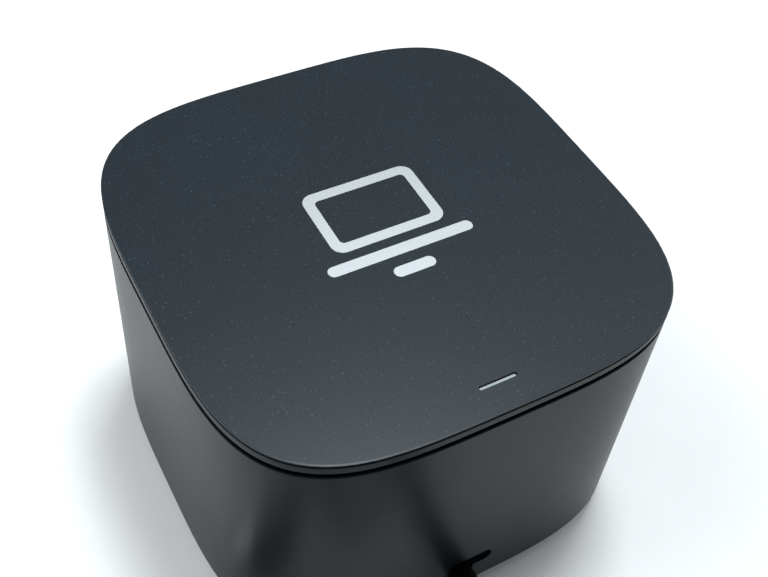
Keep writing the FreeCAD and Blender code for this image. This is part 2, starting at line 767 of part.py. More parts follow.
def make_heat_sink():
    """Plate with upright fins, a repeated pad in one body."""
    body = new_body("sink_body")
    plate = sketch_on(body, "sink_plate_sketch")
    centred_rectangle(plate, "sink_length", "sink_width")
    pad(body, "sink_plate", plate, "sink_base")
    doc.recompute()
    fin = sketch_on(body, "sink_fin_sketch", lift="sink_base")
    index_shift = "( sink_length - sink_fin ) / 2"
    centred_rectangle(fin, "sink_fin", "sink_width")
    bind(fin, "AttachmentOffset.Base.x", f"0 - {index_shift}")
    first = pad(body, "sink_first_fin", fin, "sink_top - sink_bottom - sink_base")
    doc.recompute()
    fins = body.newObject("PartDesign::LinearPattern", "sink_fins")
    fins.Originals = [first]
    fins.Direction = (plate, ["H_Axis"])
    bind(fins, "Length", "sink_length - sink_fin")
    fins.Occurrences = 10
    body.Tip = fins
    place(body, "sink_x", "sink_y", "sink_bottom")
    holes = [
        cylinder(f"sink_hole_{i}", 1.1, "sink_base + 2", x, y, "sink_bottom - 1")
        for i, (x, y) in enumerate(SINK_SCREWS)
    ]
    node(cut("heat_sink", body, *holes))
    node(group("heat_sink_screws", [
        screw(f"sink_screw_{i}", x, y, "sink_bottom + sink_base", 1.2, 1.5, 1.0, 6.0)
        for i, (x, y) in enumerate(SINK_SCREWS)
    ]))


def make_ribbon():
    """Flat cable from the main board up to the deck, with a header at each end."""
    node(group("ribbon_headers", [
        box("board_header", 14, 4, 3, 0, -32, "board_top"),
        box("deck_header", 14, 4, 2.6, 0, -32, "deck_bottom - 2.6"),
    ]))
    node(box("ribbon_cable", 12, 0.4, "deck_bottom - 2.6 - board_top - 3", 0, -32, "board_top + 3"))


# ---- Deck and lid -----------------------------------------------------------------------------

def make_deck():
    bottom, thickness = dim("deck_bottom"), dim("deck_thickness")
    plate = prism("deck_blank", bottom, thickness, half=dim("deck_half"))
    ribs = [
        box(f"deck_rib_{i}", 1.6, 52, 1.4, x, -2, "deck_bottom + deck_thickness - 0.2")
        for i, x in enumerate((-30, -18, 18, 30))
    ]
    holes = [
        cylinder(f"deck_hole_{i}", 1.6, 6, f"{sx} * screw_axis", f"{sy} * screw_axis", "deck_bottom - 1")
        for i, (sx, sy) in enumerate(CORNERS)
    ]
    posts = [
        cylinder(f"deck_post_hole_{i}", "grommet_radius", 6, f"{sx} * post_x", f"{sy} * post_y",
                 "deck_bottom - 1")
        for i, (sx, sy) in enumerate(CORNERS)
    ]
    slot = box("deck_module_hole", 22.4, 6.4, 6, 0, "module_y", "deck_bottom - 1")
    node(cut("top_deck", fuse("deck_ribbed", plate, *ribs), *holes, *posts, slot))
    node(group("deck_screws", [
        screw(f"deck_screw_{i}", f"{sx} * screw_axis", f"{sy} * screw_axis",
              "deck_bottom + deck_thickness", 1.5, 2.6, 1.3, 8)
        for i, (sx, sy) in enumerate(CORNERS)
    ]))
    node(group("base_screws", [
        screw(f"base_screw_{i}", f"{sx} * screw_axis", f"{sy} * screw_axis", 2.7, 1.7, 2.8, 1.3, 14, up=False)
        for i, (sx, sy) in enumerate(CORNERS)
    ]))


def make_post_grommets():
    rings = []
    for i, (sx, sy) in enumerate(CORNERS):
        x, y = f"{sx} * post_x", f"{sy} * post_y"
        barrel = cylinder(f"grommet_barrel_{i}", "grommet_radius", 3.0, x, y, "deck_bottom - 0.4")
        collar = cylinder(f"grommet_collar_{i}", "grommet_radius + 1.2", 0.8, x, y,
                          "deck_bottom + deck_thickness")
        bore = cylinder(f"grommet_bore_{i}", "post_radius + 0.08", 8, x, y, "deck_bottom - 2")
        rings.append(cut(f"grommet_{i}", fuse(f"grommet_blank_{i}", barrel, collar), bore))
    node(group("post_grommets", rings))


def make_module_connector():
    body = box("module_body", 22, 6, 3.8, 0, "module_y", "deck_bottom + 0.2")
    groove = box("module_groove", 18.6, 1.6, 2.4, 0, "module_y", "deck_bottom + 2.2")
    node(cut("module_connector", body, groove))
    pins = []
    for i in range(10):
        x = 1.8 * (i - 4.5)
        pins.append(box(f"module_pin_{i}", 0.8, 0.5, 1.5, x, "module_y + 0.3", "deck_bottom + 2.2"))
    node(group("module_contacts", pins))


def make_status_light():
    top = "deck_bottom + deck_thickness"
    node(box("led_board", 17, 4.6, 1.0, 0, "light_y + 1.6", top))
    node(box("status_led", 3.2, 1.6, 0.8, 0, "light_y", f"{top} + 1.0"))
    stem = box("light_stem", "light_length - light_width", "light_width",
               "total_height - light_recess - light_foot", 0, "light_y", "light_foot")
    ends = [
        cylinder(f"light_end_{i}", "light_width / 2", "total_height - light_recess - light_foot",
                 f"{sign} * ( light_length - light_width ) / 2", "light_y", "light_foot")
        for i, sign in enumerate((-1, 1))
    ]
    node(fuse("light_guide", stem, *ends))


def make_seam_ring():
    """Black liner of the shadow gap: a flat ledge behind the housing's lip and a wall further in."""
    foot, ledge, top = dim("seam_foot"), dim("seam_ledge"), dim("seam_top")
    node(cut(
        "seam_ring",
        fuse(
            "seam_blank",
            prism("seam_base", foot, ledge - foot, inset=dim("seam_inset") + 0.05),
            prism("seam_wall", ledge - 0.1, top - ledge + 0.1, inset=dim("seam_step")),
        ),
        prism("seam_inner", foot - 1, top - foot + 2, half=dim("seam_inner_half")),
    ))


def light_slot(name):
    """Clear slot through the lid around the light guide."""
    length, width = "light_length + 2 * light_gap", "light_width + 2 * light_gap"
    core = box(f"{name}_core", f"{length} - ( {width} )", width, 20, 0, "light_y", 60)
    ends = [
        cylinder(f"{name}_end_{i}", f"( {width} ) / 2", 20,
                 f"{sign} * ( {length} - ( {width} ) ) / 2", "light_y", 60)
        for i, sign in enumerate((-1, 1))
    ]
    return fuse(name, core, *ends)


def make_lid_frame():
    bottom, top = dim("lid_bottom"), dim("plate_bottom")
    skirt_half, skirt_wall = dim("skirt_half"), dim("skirt_wall")
    band = prism("lid_band", bottom, top - bottom)
    skirt = prism("lid_skirt", dim("skirt_foot"), bottom - dim("skirt_foot") + 0.5, half=skirt_half)
    hollow = prism(
        "lid_hollow", dim("skirt_foot") - 1, top - dim("lid_skin") - dim("skirt_foot") + 1,
        half=skirt_half - skirt_wall,
    )
    posts = []
    for i, (sx, sy) in enumerate(CORNERS):
        x, y = f"{sx} * post_x", f"{sy} * post_y"
        posts.append(cylinder(f"lid_post_{i}", "post_radius", "plate_bottom - post_foot - 2.5", x, y,
                              "post_foot + 1.5"))
        posts.append(cone(f"lid_post_tip_{i}", "post_radius - 0.9", "post_radius", 1.5, x, y, "post_foot"))
    shell = cut("lid_shell", fuse("lid_blank", band, skirt), hollow)
    raw = cut("lid_raw", fuse("lid_posted", shell, *posts), light_slot("lid_light_slot"))
    low_edge, high_edge = on_outline(bottom), on_outline(top)
    node(chamfer("lid_frame", raw, 0.15, lambda point: low_edge(point) or high_edge(point)))


def make_top_plate():
    """Thin plate with a faintly falling edge; a groove under its rim draws the dark line above the lid."""
    bottom, top = dim("plate_bottom"), dim("total_height")
    rim, shoulder = bottom + dim("groove_height"), top - dim("crown_rise")
    inner = prism("plate_core", bottom, dim("groove_height") + 0.1, inset=dim("groove_depth"))
    face = prism("plate_face", rim, shoulder - rim)
    crown = loft(
        "plate_crown",
        outline("plate_crown_low", shoulder),
        outline("plate_crown_high", top, inset=dim("crown_run")),
    )
    slot, inlay = light_slot("plate_light_slot"), emblem_solid("inlay_tool")
    node(cut("top_plate", fuse("plate_blank", inner, face, crown), slot, inlay))


def round_bar(name, length, width, height, x, y, z, radius):
    """Flat bar with rounded corners, standing on z; a radius of half the width makes round ends."""
    core = box(f"{name}_core", length - 2 * radius, width, height, x, y, z)
    pieces = [core]
    if 2 * radius < width:
        pieces.append(box(f"{name}_sides", length, width - 2 * radius, height, x, y, z))
    places = {(sx, sy if 2 * radius < width else 0) for sx, sy in CORNERS}
    for i, (sx, sy) in enumerate(sorted(places)):
        corner_x = x + sx * (length / 2 - radius)
        corner_y = y + sy * (width / 2 - radius)
        pieces.append(cylinder(f"{name}_round_{i}", radius, height, corner_x, corner_y, z))
    return fuse(name, *pieces)


def emblem_solid(name):
    """Plain pictogram: an open laptop's screen outline standing over the dock's short bar."""
    z = dim("total_height") - dim("inlay_depth")
    height = dim("inlay_depth")
    screen = cut(
        f"{name}_screen",
        round_bar(f"{name}_outer", 25.0, 17.0, height, 0, 4.0, z, 2.6),
        round_bar(f"{name}_inner", 20.4, 12.4, height + 2, 0, 4.0, z - 1, 1.0),
    )
    keyboard = round_bar(f"{name}_keyboard", 32.0, 2.6, height, 0, -8.0, z, 1.3)
    stand = round_bar(f"{name}_stand", 9.0, 2.6, height, 0, -13.2, z, 1.3)
    return group(name, [screen, keyboard, stand])


# ---- Cord -------------------------------------------------------------------------------------

def make_cable_grommet():
    """Rubber block that fills the notch, with a tapered sleeve that follows the cord outwards."""
    block = box("grommet_block", "2 * sleeve_radius", 5.6, "outlet_bottom - housing_foot + 1.7",
                "cord_x", -46.8, "housing_foot + 0.1")
    collar = box("grommet_collar_in", "2 * sleeve_radius + 5", 1.6, "cord_z - column_foot + 4.4",
                 "cord_x", -44.8, "column_foot + 0.2")
    sleeve = cone(
        "grommet_sleeve", "cord_radius + 0.15", "sleeve_radius", "sleeve_end - 45", "cord_x",
        "0 - sleeve_end", "cord_z", FACES_BACK,
    )
    node(fuse("cable_grommet", block, collar, sleeve))


def make_inner_cord():
    node(cylinder("inner_cable", "cord_radius", 14, "cord_x", -44, "cord_z", FACES_BACK))
    saddle = box("clamp_blank", 15.8, 6, 6.2, "cord_x", "clamp_y", "base_bottom + 7.0")
    bore = cylinder("clamp_bore", "cord_radius", 10, "cord_x", "clamp_y - 5", "cord_z", FACES_BACK)
    under = box("clamp_under", "2 * cord_radius", 8, 6, "cord_x", "clamp_y", "cord_z - 6")
    holes = [
        cylinder(f"clamp_screw_hole_{i}", 1.05, 12, f"cord_x + {sign} * clamp_screw", "clamp_y", 6)
        for i, sign in enumerate((-1, 1))
    ]
    node(cut("cable_clamp", saddle, bore, under, *holes))
    screws = [
        screw(f"clamp_screw_{i}", f"cord_x + {sign} * clamp_screw", "clamp_y", "base_bottom + 13.2", 0.7,
              1.4, 0.85, 8)
        for i, sign in enumerate((-1, 1))
    ]
    screws += [
        screw(f"cover_screw_{i}", "cover_x", f"cover_y + {sign} * cover_screw", "base_bottom + 0.1", 0.6,
              1.05, 0.85, 1.9, up=False)
        for i, sign in enumerate((-1, 1))
    ]
    node(group("service_screws", screws))
    overmold = box("inner_overmold", 10.4, 14, 6, "cord_x", -23, "cord_z - 3")
    shell = box("inner_shell", 8.3, 6.5, 2.5, "cord_x", -12.75, "cord_z - 1.25")
    node(fuse("inner_plug", overmold, shell))
    socket = box("host_socket_body", 10, 9, "board_bottom - cord_z + 2", "cord_x", -11.4, "cord_z - 2")
    mouth = box("host_socket_mouth", 8.5, 8, 2.7, "cord_x", -12.6, "cord_z - 1.35")
    node(cut("host_socket", socket, mouth))


def tube(name, points, radius):
    """Round tube along straight runs joined by tangent arcs, each as large as its two runs allow."""
    edges = []
    start = points[0]
    for i in range(1, len(points) - 1):
        back, ahead = points[i - 1] - points[i], points[i + 1] - points[i]
        run = 0.45 * min(back.Length, ahead.Length)
        half_turn = (math.pi - back.getAngle(ahead)) / 2
        bend = run / math.tan(half_turn)
        print(f"{name} bend {i}: radius {bend:.1f} mm, {bend / (2 * radius):.1f} diameters")
        first = points[i] + back.normalize() * run
        last = points[i] + ahead.normalize() * run
        middle_way = (first + last) * 0.5 - points[i]
        to_centre = middle_way.normalize() * (bend / math.cos(half_turn))
        centre = points[i] + to_centre
        middle = centre - Vector(to_centre).normalize() * bend
        edges.append(Part.LineSegment(start, first).toShape())
        edges.append(Part.Arc(first, middle, last).toShape())
        start = last
    edges.append(Part.LineSegment(start, points[-1]).toShape())
    path = Part.Wire(edges)
    heading = (points[1] - points[0]).normalize()
    profile = Part.Wire(Part.Circle(points[0], heading, radius).toShape())
    solid = path.makePipeShell([profile], True, False)
    ideal = math.pi * radius ** 2 * path.Length
    print(f"{name}: length {path.Length:.1f} mm, volume {solid.Volume / ideal:.4f} of section x length")
    feature = doc.addObject("Part::Feature", name)
    feature.Shape = solid
    return feature


def make_cord():
    """Host cord: out of the sleeve, down to the surface, into a coil, and a tail with the plug."""
    r, ring = dim("cord_radius"), dim("coil_radius")
    x, z, start = dim("cord_x"), dim("cord_z"), -dim("sleeve_end")
    coil_x, coil_y = dim("coil_x"), dim("coil_y")
    node(tube("host_cable", [
        Vector(x, start, z),
        Vector(x, start - 12, z),
        Vector(x + 0.2, start - 24, z - 4.8),
        Vector(x + 1.3, start - 36, r + 0.1),
        Vector(coil_x + ring + 2.6, coil_y + 2, r + 0.1),
    ], r))
    outer = cylinder("coil_outer", "coil_radius + 2 * cord_radius", "4 * cord_radius - 0.6",
                     "coil_x", "coil_y", 0)
    inner = cylinder("coil_inner", "coil_radius - 2 * cord_radius", 20, "coil_x", "coil_y", -1)
    node(cut("host_cable_coil", outer, inner))
    node(tube("host_cable_tail", [
        Vector(coil_x - ring, coil_y, 7.4),
        Vector(-64.0, -101.0, 8.6),
        Vector(-64.3, -92.0, 8.3),
        Vector(-63.9, -80.0, 4.6),
        Vector(-63.2, -68.5, dim("plug_z")),
        Vector(dim("plug_x"), dim("plug_y"), dim("plug_z")),
    ], r))


def make_host_plug():
    """Plug on the cord's far end: a moulded grip with a metal shell, lying beside the coil."""
    body = new_body("host_plug_body")
    grip = sketch_on(body, "grip_sketch", "XZ_Plane")
    centred_rectangle(grip, 11.8, 6.2)
    feature = pad(body, "grip_pad", grip, "plug_length")
    feature.Reversed = True
    doc.recompute()
    rounding = body.newObject("PartDesign::Fillet", "grip_rounding")
    rounding.Radius = 2.2
    along = edges_where(
        feature.Shape, lambda point: abs(abs(point.x) - 5.9) < 0.01 and abs(abs(point.z) - 3.1) < 0.01
    )
    rounding.Base = (feature, [name for _, name in along])
    body.Tip = rounding
    place(body, "plug_x", "plug_y", "plug_z")
    nodes.append(body)
    node(cut(
        "host_plug_shell",
        stadium("plug_shell_outer", 8.3, 2.5, 6.6, "plug_x", "plug_y + plug_length", "plug_z", FACES_BACK),
        stadium("plug_shell_inner", 7.7, 1.9, 6.6, "plug_x", "plug_y + plug_length + 1", "plug_z",
                FACES_BACK),
    ))


make_housing()
make_base()
make_foot_ring()
make_cable_cover()
make_lock_plate()
make_rear_panel()
make_side_panel()
make_dc_jack()
make_usb_c_socket()
make_network_jack()
make_display_sockets()
make_usb_a_sockets()
make_socket_tongues()
make_audio_jack()
make_power_button()
make_power_switch()
make_main_board()
make_chips()
make_heat_sink()
make_ribbon()
make_deck()
make_post_grommets()
make_module_connector()
make_status_light()
make_seam_ring()
make_lid_frame()
make_top_plate()
node(emblem_solid("emblem"))
make_cable_grommet()
make_inner_cord()
make_cord()
make_host_plug()

doc.recompute()
for item in doc.Objects:
    broken = {"Invalid", "Error"} & set(item.State)
    if broken:
        raise RuntimeError(f"{item.Label} failed: {item.State}")
for part in nodes:
    if part.Shape.isNull() or not part.Shape.isValid():
        raise RuntimeError(f"{part.Label} has no valid shape")
os.makedirs("parts", exist_ok=True)
for part in nodes:
    part.Shape.exportStep(f"parts/{part.Label}.step")
print(f"wrote {len(nodes)} nodes")
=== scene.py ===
"""Looks of the laptop docking station: cord, materials, small details, studio and camera.

Metres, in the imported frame: +Z up, origin under the middle of the housing, front faces -Y."""
import bpy
import bmesh
import json
import math
from mathutils import Matrix, Vector


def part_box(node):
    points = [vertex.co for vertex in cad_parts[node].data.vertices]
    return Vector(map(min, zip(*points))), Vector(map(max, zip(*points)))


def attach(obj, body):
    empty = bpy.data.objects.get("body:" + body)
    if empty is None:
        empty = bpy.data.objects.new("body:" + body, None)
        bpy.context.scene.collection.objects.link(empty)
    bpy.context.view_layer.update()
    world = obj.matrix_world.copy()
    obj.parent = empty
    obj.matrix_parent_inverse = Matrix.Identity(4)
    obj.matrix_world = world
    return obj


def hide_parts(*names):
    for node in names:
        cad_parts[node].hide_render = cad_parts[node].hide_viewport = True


MM = 0.001

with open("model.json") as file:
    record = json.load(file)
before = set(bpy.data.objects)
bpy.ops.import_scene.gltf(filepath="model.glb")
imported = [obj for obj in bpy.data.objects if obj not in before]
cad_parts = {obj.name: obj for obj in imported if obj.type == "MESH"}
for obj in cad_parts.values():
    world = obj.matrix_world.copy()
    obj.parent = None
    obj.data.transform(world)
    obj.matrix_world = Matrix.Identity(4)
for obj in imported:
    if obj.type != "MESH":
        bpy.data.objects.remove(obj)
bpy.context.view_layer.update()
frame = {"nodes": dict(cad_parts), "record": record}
record = frame["record"]
scene = bpy.context.scene


# ---- Camera -----------------------------------------------------------------------------------

CAMERA_TARGET = Vector((-0.00039, -0.00384, 0.05358))
CAMERA_DISTANCE = 0.2270
CAMERA_AZIMUTH = math.radians(-33.28)
CAMERA_ELEVATION = math.radians(49.44)
CAMERA_ROLL = math.radians(6.26)
CAMERA_LENS = 51.28


def make_camera():
    """Camera at the front-left corner, looking down and leaning a little to one side."""
    flat = math.cos(CAMERA_ELEVATION)
    back = Vector((
        math.sin(CAMERA_AZIMUTH) * flat,
        -math.cos(CAMERA_AZIMUTH) * flat,
        math.sin(CAMERA_ELEVATION),
    ))
    level = Vector((0, 0, 1)).cross(back).normalized()
    upright = back.cross(level)
    right = level * math.cos(CAMERA_ROLL) + upright * math.sin(CAMERA_ROLL)
    up = back.cross(right)
    data = bpy.data.cameras.new("camera")
    data.lens = CAMERA_LENS
    data.clip_start = 0.01
    camera = bpy.data.objects.new("camera", data)
    scene.collection.objects.link(camera)
    turn = Matrix((right, up, back)).transposed().to_4x4()
    camera.matrix_world = Matrix.Translation(CAMERA_TARGET + back * CAMERA_DISTANCE) @ turn
    scene.camera = camera


make_camera()


# ---- Materials --------------------------------------------------------------------------------

NOISE_LOW, NOISE_HIGH = 0.3, 0.7    # nearly all of a noise lies between these values
MIX_FACTOR, MIX_COLORS, MIX_RESULT = 0, (6, 7), 2    # sockets of a mix node that mixes colours


def shade(color, factor):
    """The colour, lighter or darker by a factor."""
    return tuple(min(1.0, channel * factor) for channel in color)


class Paint:
    """A principled material whose colour, roughness and relief come from procedural nodes."""

    def __init__(self, name, color, roughness, metallic=0.0, **sockets):
        self.material = bpy.data.materials.new(name)
        self.material.use_nodes = True
        self.tree = self.material.node_tree
        self.shader = self.tree.nodes["Principled BSDF"]
        self.place = self.tree.nodes.new("ShaderNodeTexCoord").outputs["Object"]
        self.relief = None
        self.color = color
        self.shader.inputs["Base Color"].default_value = (*color, 1)
        self.shader.inputs["Roughness"].default_value = roughness
        self.shader.inputs["Metallic"].default_value = metallic
        for socket, value in sockets.items():
            self.shader.inputs[socket.replace("_", " ")].default_value = value

    def link(self, output, node, socket):
        self.tree.links.new(output, node.inputs[socket])

    def stretched(self, factors):
        """Object coordinates scaled along each axis, for grain that runs one way."""
        mapping = self.tree.nodes.new("ShaderNodeMapping")
        mapping.inputs["Scale"].default_value = factors
        self.link(self.place, mapping, "Vector")
        return mapping.outputs["Vector"]

    def noise(self, size, detail=2.0, rough=0.5, stretch=None):
        """Noise whose features are about size metres across."""
        node = self.tree.nodes.new("ShaderNodeTexNoise")
        node.inputs["Scale"].default_value = 1 / size
        node.inputs["Detail"].default_value = detail
        node.inputs["Roughness"].default_value = rough
        self.link(self.stretched(stretch) if stretch else self.place, node, "Vector")
        return node.outputs["Fac"]

    def cells(self, size, feature="F1", output="Distance"):
        """Voronoi cells about size metres across."""
        node = self.tree.nodes.new("ShaderNodeTexVoronoi")
        node.feature = feature
        node.inputs["Scale"].default_value = 1 / size
        self.link(self.place, node, "Vector")
        return node.outputs[output]

    def ramp(self, value, low, high, to_low=0.0, to_high=1.0):
        """Values from low to high spread over to_low to to_high."""
        node = self.tree.nodes.new("ShaderNodeMapRange")
        self.link(value, node, "Value")
        limits = {"From Min": low, "From Max": high, "To Min": to_low, "To Max": to_high}
        for socket, number in limits.items():
            node.inputs[socket].default_value = number
        return node.outputs["Result"]

    def blend(self, factor, first, second):
        """Mix of two colours, each a tuple or an output."""
        node = self.tree.nodes.new("ShaderNodeMix")
        node.data_type = "RGBA"
        self.link(factor, node, MIX_FACTOR)
        for index, color in zip(MIX_COLORS, (first, second)):
            if isinstance(color, tuple):
                node.inputs[index].default_value = (*color, 1)
            else:
                self.link(color, node, index)
        return node.outputs[MIX_RESULT]

    def colored(self, output):
        """Takes the surface colour from an output."""
        self.link(output, self.shader, "Base Color")
        return self

    def toned(self, noise, darker, lighter):
        """Surface colour that wanders between two shades of its own with a noise."""
        factor = self.ramp(noise, NOISE_LOW, NOISE_HIGH)
        ends = shade(self.color, darker), shade(self.color, lighter)
        return self.colored(self.blend(factor, *ends))

    def roughened(self, noise, low, high):
        """Roughness that wanders from low to high with a noise."""
        self.link(self.ramp(noise, NOISE_LOW, NOISE_HIGH, low, high), self.shader, "Roughness")
        return self

    def bumped(self, output, depth):
        """Adds a layer of relief, depth metres high."""
        node = self.tree.nodes.new("ShaderNodeBump")
        node.inputs["Distance"].default_value = depth
        node.inputs["Strength"].default_value = 1
        self.link(output, node, "Height")
        if self.relief:
            self.link(self.relief, node, "Normal")
        self.relief = node.outputs["Normal"]
        self.link(self.relief, self.shader, "Normal")
        return self


def moulded(name, color, roughness, grain, depth, tint=0.12, **sockets):
    """Moulded plastic: fine eroded grain, slow tone changes and patches of finger polish.

    The grain and its depth are in millimetres."""
    paint = Paint(name, color, roughness, **sockets)
    paint.toned(paint.noise(14 * MM, 3), 1 - tint, 1 + tint)
    paint.roughened(paint.noise(6 * MM, 4), roughness - 0.05, roughness + 0.06)
    return paint.bumped(paint.noise(grain * MM, 3, 0.6), depth * MM)


def satin(name, color, roughness, gloss):
    """Even satin lacquer with only a very fine grain."""
    paint = Paint(name, color, roughness, Specular_IOR_Level=gloss)
    paint.toned(paint.noise(30 * MM, 2), 0.93, 1.07)
    paint.roughened(paint.noise(0.5 * MM, 3), roughness - 0.02, roughness + 0.03)
    return paint.bumped(paint.noise(0.16 * MM, 2, 0.6), 0.003 * MM)


def flecked_with_painted_glints(name, color, roughness, gloss, fleck_and_glint):
    """Satin lacquer with a soft grain and scattered pale specks; the specks are painted glints of
    its textured finish.
    """
    paint = satin(name, color, roughness, gloss)
    spacing = 0.8 * MM
    tone = paint.shader.inputs["Base Color"].links[0].from_socket
    soft = paint.blend(paint.ramp(paint.noise(0.35 * MM, 3, 0.7), 0.5, 0.95), tone, fleck_and_glint)
    # Pale specks in scattered cells: painted glints, as bright under any light.
    glint_cells = paint.ramp(paint.cells(spacing, "F1", "Color"), 0.6, 0.7)
    painted_glint = paint.blend(glint_cells, soft, shade(fleck_and_glint, 1.4))
    paint.colored(paint.blend(paint.ramp(paint.cells(spacing), 0.2, 0.1), soft, painted_glint))
    return paint.bumped(paint.noise(0.3 * MM, 2, 0.6), 0.006 * MM)


def metal(name, color, roughness, stretch):
    """Plated or machined metal with fine streaks that run across the stretched axes."""
    paint = Paint(name, color, roughness, 1.0)
    lines = paint.noise(0.1 * MM, 4, 0.65, stretch)
    paint.toned(lines, 0.86, 1.08)
    paint.roughened(lines, roughness - 0.06, roughness + 0.08)
    return paint.bumped(lines, 0.004 * MM)


def rubber(name, color):
    """Matte rubber: pitted surface with a little grey bloom."""
    paint = Paint(name, color, 0.8, Specular_IOR_Level=0.3)
    bloom = paint.noise(3 * MM, 5, 0.7)
    paint.colored(paint.blend(paint.ramp(bloom, 0.45, 0.75), color, shade(color, 1.7)))
    paint.roughened(bloom, 0.7, 0.92)
    return paint.bumped(paint.noise(0.12 * MM, 3, 0.7), 0.02 * MM)


def circuit_board(name, color):
    """Solder mask over copper tracks, with plated pads."""
    paint = Paint(name, color, 0.35)
    tracks = paint.ramp(paint.cells(1.6 * MM, "DISTANCE_TO_EDGE"), 0.06, 0.1)
    paint.colored(paint.blend(tracks, shade(color, 1.9), color))
    paint.roughened(paint.noise(2 * MM, 3), 0.28, 0.42)
    return paint.bumped(tracks, 0.02 * MM)


def light_window(name, color):
    """Frosted light pipe with a soft glow."""
    paint = Paint(name, color, 0.5, Emission_Strength=0.06)
    paint.shader.inputs["Emission Color"].default_value = (*color, 1)
    haze = paint.noise(0.5 * MM, 2)
    paint.colored(paint.blend(haze, shade(color, 0.85), color))
    return paint.bumped(paint.noise(0.08 * MM, 2), 0.01 * MM)


PAINTS = {
    # The top's fleck colour tints its soft grain and also gives its painted glints.
    "top_surface": flecked_with_painted_glints("top_lacquer", (0.006, 0.0115, 0.0170), 0.36, 0.31,
                           fleck_and_glint=(0.034, 0.048, 0.060)),
    "lid_band": satin("band_lacquer", (0.005, 0.008, 0.011), 0.42, 0.2),
    "shell": satin("shell_lacquer", (0.003, 0.0053, 0.0085), 0.35, 0.14),
    # gap_black is painted shade: a dark seal ring, darkened further and made matte so the seam
    # under the lid reads as deep shade.
    "gap_black": satin("gap_black", (0.0015, 0.0015, 0.002), 0.9, 0.05),
    "emblem_metal": metal("emblem_metal", (0.48, 0.50, 0.515), 0.5, (1, 8, 1)),
    "light_window": light_window("light_window", (0.33, 0.37, 0.40)),
    "base_plastic": moulded("base_plastic", (0.018, 0.019, 0.021), 0.6, 0.35, 0.03),
    "foot_rubber": rubber("foot_rubber", (0.012, 0.012, 0.013)),
    "port_plastic": moulded("port_plastic", (0.014, 0.015, 0.017), 0.55, 0.3, 0.02),
    "socket_steel": metal("socket_steel", (0.60, 0.60, 0.59), 0.28, (1, 1, 6)),
    "contact_metal": metal("contact_metal", (0.86, 0.62, 0.24), 0.22, (1, 5, 1)),
    "insulator": moulded("insulator", (0.010, 0.010, 0.012), 0.38, 0.2, 0.006),
    "indicator": moulded("indicator", (0.20, 0.36, 0.12), 0.25, 0.4, 0.003,
                         Transmission_Weight=0.2),
    "circuit_board": circuit_board("circuit_board", (0.008, 0.055, 0.028)),
    "chip": moulded("chip", (0.012, 0.012, 0.014), 0.62, 0.15, 0.015),
    "can_sleeve": metal("can_sleeve", (0.70, 0.71, 0.73), 0.3, (1, 1, 8)),
    "ferrite": moulded("ferrite", (0.035, 0.035, 0.038), 0.75, 0.2, 0.04),
    "shield_steel": metal("shield_steel", (0.66, 0.66, 0.63), 0.35, (8, 1, 1)),
    "thermal_pad": rubber("thermal_pad", (0.14, 0.23, 0.32)),
    "sink_aluminium": metal("sink_aluminium", (0.52, 0.54, 0.56), 0.38, (1, 1, 10)),
    "screw_steel": metal("screw_steel", (0.42, 0.42, 0.44), 0.32, (4, 4, 1)),
    "standoff_brass": metal("standoff_brass", (0.70, 0.52, 0.22), 0.3, (1, 1, 8)),
    "ribbon": moulded("ribbon", (0.42, 0.42, 0.40), 0.45, 1.0, 0.02),
    "button_plastic": moulded("button_plastic", (0.045, 0.048, 0.052), 0.4, 0.2, 0.006),
    "cord_jacket": rubber("cord_jacket", (0.003, 0.003, 0.0035)),
    "plug_mould": moulded("plug_mould", (0.003, 0.003, 0.0035), 0.6, 0.25, 0.02,
                          Specular_IOR_Level=0.15),
}


def dress_nodes():
    """Gives every CAD node the material of its slot in the record."""
    for part in record["subparts"]:
        mesh = frame["nodes"][part["node"]].data
        mesh.materials.clear()
        mesh.materials.append(PAINTS[part["material_slot"]].material)


# ---- Cord -------------------------------------------------------------------------------------

CORD_DIAMETER = 0.0054
COIL_MIDDLE = Vector((-0.0335, -0.108, 0))
COIL_TURNS = 3.5
COIL_START = 0.02           # turns past the +X side, where the coil takes over from the run
POINTS_PER_TURN = 14
CROSSING = 0.15             # part of a turn in which the cord moves on to its next lay
OUTER_LAY = (0.0327, 0.00275)    # radius and height of the turn round the outside
INNER_LAY = (0.0273, 0.00275)    # of the turn inside it
UPPER_LAY = (0.0300, 0.0074)     # of the turns that lie on both
# The run from the outlet to the coil, and the end that carries the plug, in millimetres.
CORD_START = [(-3.1, -59, 9.4), (-3.1, -71, 9.4), (-2.9, -83, 5.7), (-2.0, -95, 2.8)]
CORD_TAIL = [(-64.0, -101.0, 8.6), (-64.3, -92.0, 8.3), (-63.9, -80.0, 4.6), (-63.2, -68.5, 3.1),
             (-63.0, -58.5, 3.1)]


def coil_lay(turn):
    """Radius and height of the coil after so many turns, sliding from each lay to the next."""
    lays = (OUTER_LAY, INNER_LAY, UPPER_LAY)
    count = min(int(turn), 2)
    if count == 0:
        return OUTER_LAY
    part = min((turn - count) / CROSSING, 1.0)
    return tuple(start + (end - start) * part for start, end in zip(lays[count - 1], lays[count]))


def coil_points():
    """One turn round the outside, one inside it and the last ones that lie on both."""
    steps = round(COIL_TURNS * POINTS_PER_TURN)
    points = []
    for step in range(steps + 1):
        turn = COIL_START + (COIL_TURNS - COIL_START) * step / steps
        radius, height = coil_lay(turn)
        angle = -2 * math.pi * turn
        spoke = Vector((radius * math.cos(angle), radius * math.sin(angle), height))
        points.append(COIL_MIDDLE + spoke)
    return points


